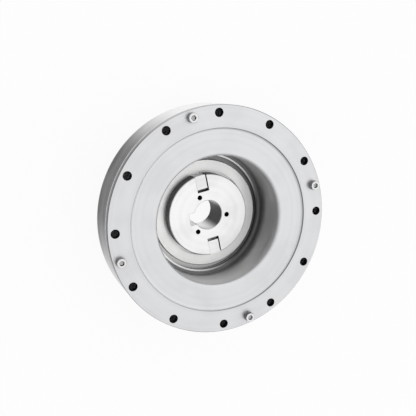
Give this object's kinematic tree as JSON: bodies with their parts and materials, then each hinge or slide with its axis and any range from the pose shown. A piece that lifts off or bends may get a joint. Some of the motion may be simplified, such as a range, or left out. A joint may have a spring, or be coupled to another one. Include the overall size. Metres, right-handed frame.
{
  "type": "strain-wave gear reducer",
  "caption": "Flat round strain-wave gear reducer with a flanged flexible cup, a crossed-roller output bearing and a floating input hub; turns a fast input into a slow, strong output.",
  "frame": {"origin": "on the gear axis, at the rear face of the circular spline, which the part lies on", "axes": "+Z along the gear axis, out of the open mouth of the flange; +X towards one assembly screw"},
  "size_m": [0.09, 0.09, 0.029],
  "materials": {
    "spring_steel": "fine ground satin",
    "bearing_steel": "turned, then ground",
    "screw_steel": "bright",
    "seal_rubber": "matt",
    "spline_iron": "machined",
    "polished_steel": "polished",
    "cage_plastic": "moulded",
    "plug_steel": "turned",
    "insert_steel": "ground",
    "hub_aluminium": "bright satin"
  },
  "bodies": {
    "fixed_flange": {"flexspline_flange": "spring_steel", "flexspline_cup": "spring_steel", "bearing_outer_ring": "bearing_steel", "roller_fill_plug": "bearing_steel", "fill_plug_pin": "bearing_steel", "assembly_screws": "screw_steel", "bearing_seal": "seal_rubber", "flex_bearing_outer_race": "bearing_steel"},
    "output": {"circular_spline": "spline_iron", "bearing_inner_ring": "bearing_steel", "spline_screws": "screw_steel"},
    "roller_set": {"crossed_rollers": "polished_steel", "roller_spacers": "cage_plastic"},
    "wave_generator": {"wave_generator_plug": "plug_steel", "flex_bearing_inner_race": "bearing_steel"},
    "ball_set": {"flex_bearing_balls": "polished_steel", "ball_separator": "cage_plastic"},
    "floating_insert": {"coupling_insert": "insert_steel"},
    "hub_set": {"input_hub": "hub_aluminium", "rub_washer": "insert_steel", "snap_ring": "insert_steel"}
  },
  "joints": [
    {"name": "input_spin", "type": "hinge", "parent": "fixed_flange", "child": "wave_generator", "pos_m": [0, 0, 0.0047], "axis": [0, 0, 1], "continuous": true, "deforming": ["flexspline_cup", "flex_bearing_outer_race", "flex_bearing_balls", "ball_separator"]},
    {"name": "output_spin", "type": "hinge", "parent": "fixed_flange", "child": "output", "pos_m": [0, 0, 0.01725], "axis": [0, 0, 1], "continuous": true},
    {"name": "roller_orbit", "type": "hinge", "parent": "fixed_flange", "child": "roller_set", "pos_m": [0, 0, 0.01725], "axis": [0, 0, 1], "continuous": true},
    {"name": "ball_orbit", "type": "hinge", "parent": "fixed_flange", "child": "ball_set", "pos_m": [0, 0, 0.0047], "axis": [0, 0, 1], "continuous": true},
    {"name": "insert_slide", "type": "slide", "parent": "wave_generator", "child": "floating_insert", "axis": [0.9966, -0.0828, 0], "range_m": [-0.0004, 0.0004]},
    {"name": "hub_slide", "type": "slide", "parent": "floating_insert", "child": "hub_set", "axis": [0.0828, 0.9966, 0], "range_m": [-0.0004, 0.0004]}
  ],
  "couplings": [
    {"joint": "output_spin", "follows": "input_spin", "ratio": 0.019608},
    {"joint": "roller_orbit", "follows": "input_spin", "ratio": 0.0094118},
    {"joint": "ball_orbit", "follows": "input_spin", "ratio": 0.4535}
  ]
}
